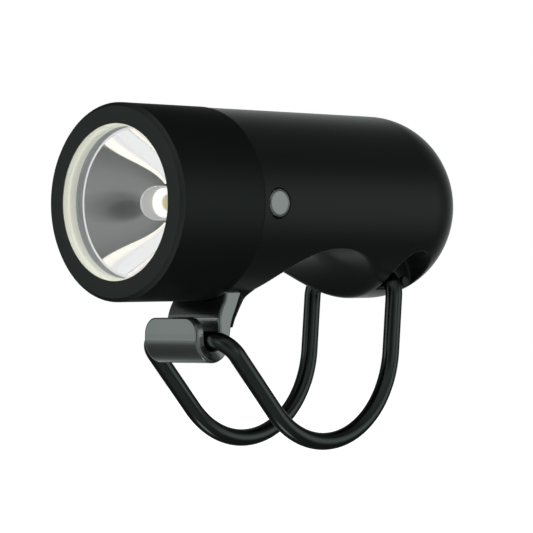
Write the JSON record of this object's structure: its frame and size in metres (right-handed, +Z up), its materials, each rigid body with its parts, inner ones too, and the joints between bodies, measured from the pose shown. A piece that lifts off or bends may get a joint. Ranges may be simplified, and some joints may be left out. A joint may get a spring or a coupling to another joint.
{
  "type": "bike headlight",
  "caption": "Round bike headlight with a clear front window, side push button, concave handlebar seat, metal hook and a stretch rubber loop strap.",
  "frame": {"origin": "on the axis of the handlebar that the concave seat holds, in the light's plane of symmetry", "axes": "+Z up, the beam points along -Y, +X is the push button's side and runs along the handlebar"},
  "size_m": [0.032, 0.0739, 0.0572],
  "materials": {
    "head_black": "matte",
    "casing_black": "satin",
    "clear_window": "polished",
    "ivory_ring": "satin",
    "seal_rubber": "matte",
    "reflector_mirror": "polished",
    "led_board_white": "matte",
    "led_base": "satin",
    "phosphor": "matte",
    "led_dome_clear": "polished",
    "screw_steel": "brushed",
    "pin_black": "blackened",
    "sink_aluminium": "machined",
    "wire_red": "satin",
    "hook_metal": "satin dark grey",
    "strap_rubber": "glossy",
    "cell_wrap": "wrapped in blue film",
    "nickel": "satin",
    "foam": "matte",
    "chassis_grey": "matte",
    "board_green": "satin",
    "chip_black": "matte",
    "cover_rubber": "matte",
    "button_silver": "satin with a polished rim",
    "stem_ivory": "matte"
  },
  "bodies": {
    "light": {"head_shell": "head_black", "front_lens": "clear_window", "light_ring": "ivory_ring", "lens_seal": "seal_rubber", "reflector": "reflector_mirror", "led_board": "led_board_white", "led_package": "led_base", "led_phosphor": "phosphor", "led_dome": "led_dome_clear", "led_screws": "screw_steel", "heat_sink": "sink_aluminium", "led_wires": "wire_red", "head_gasket": "seal_rubber", "rear_casing": "casing_black", "hook": "hook_metal", "hook_screws": "screw_steel", "strap_pin": "pin_black", "battery_cell": "cell_wrap", "battery_tabs": "nickel", "battery_pad": "foam", "chassis": "chassis_grey", "main_board": "board_green", "board_parts": "chip_black", "board_screws": "screw_steel", "usb_shell": "screw_steel", "usb_tongue": "chip_black", "port_cover_anchor": "cover_rubber", "button_seal": "seal_rubber", "tact_switch": "chip_black"},
    "strap": {"strap": "strap_rubber"},
    "button": {"button_cap": "button_silver", "switch_stem": "stem_ivory"},
    "flap": {"port_cover": "cover_rubber"}
  },
  "joints": [
    {"name": "button_press", "type": "slide", "parent": "light", "child": "button", "axis": [-1, 0, 0], "range_m": [0, 0.0004], "stiffness_N_per_m": 200, "springref_m": -0.002},
    {"name": "strap_swing", "type": "hinge", "parent": "light", "child": "strap", "pos_m": [0, 0.0176, 0.0135], "axis": [1, 0, 0], "range_deg": [0, 60], "deforming": ["strap"]},
    {"name": "flap_hinge", "type": "hinge", "parent": "light", "child": "flap", "pos_m": [-0.0159, -0.01423, 0.0255], "axis": [0, 0, -1], "range_deg": [0, 110]}
  ]
}
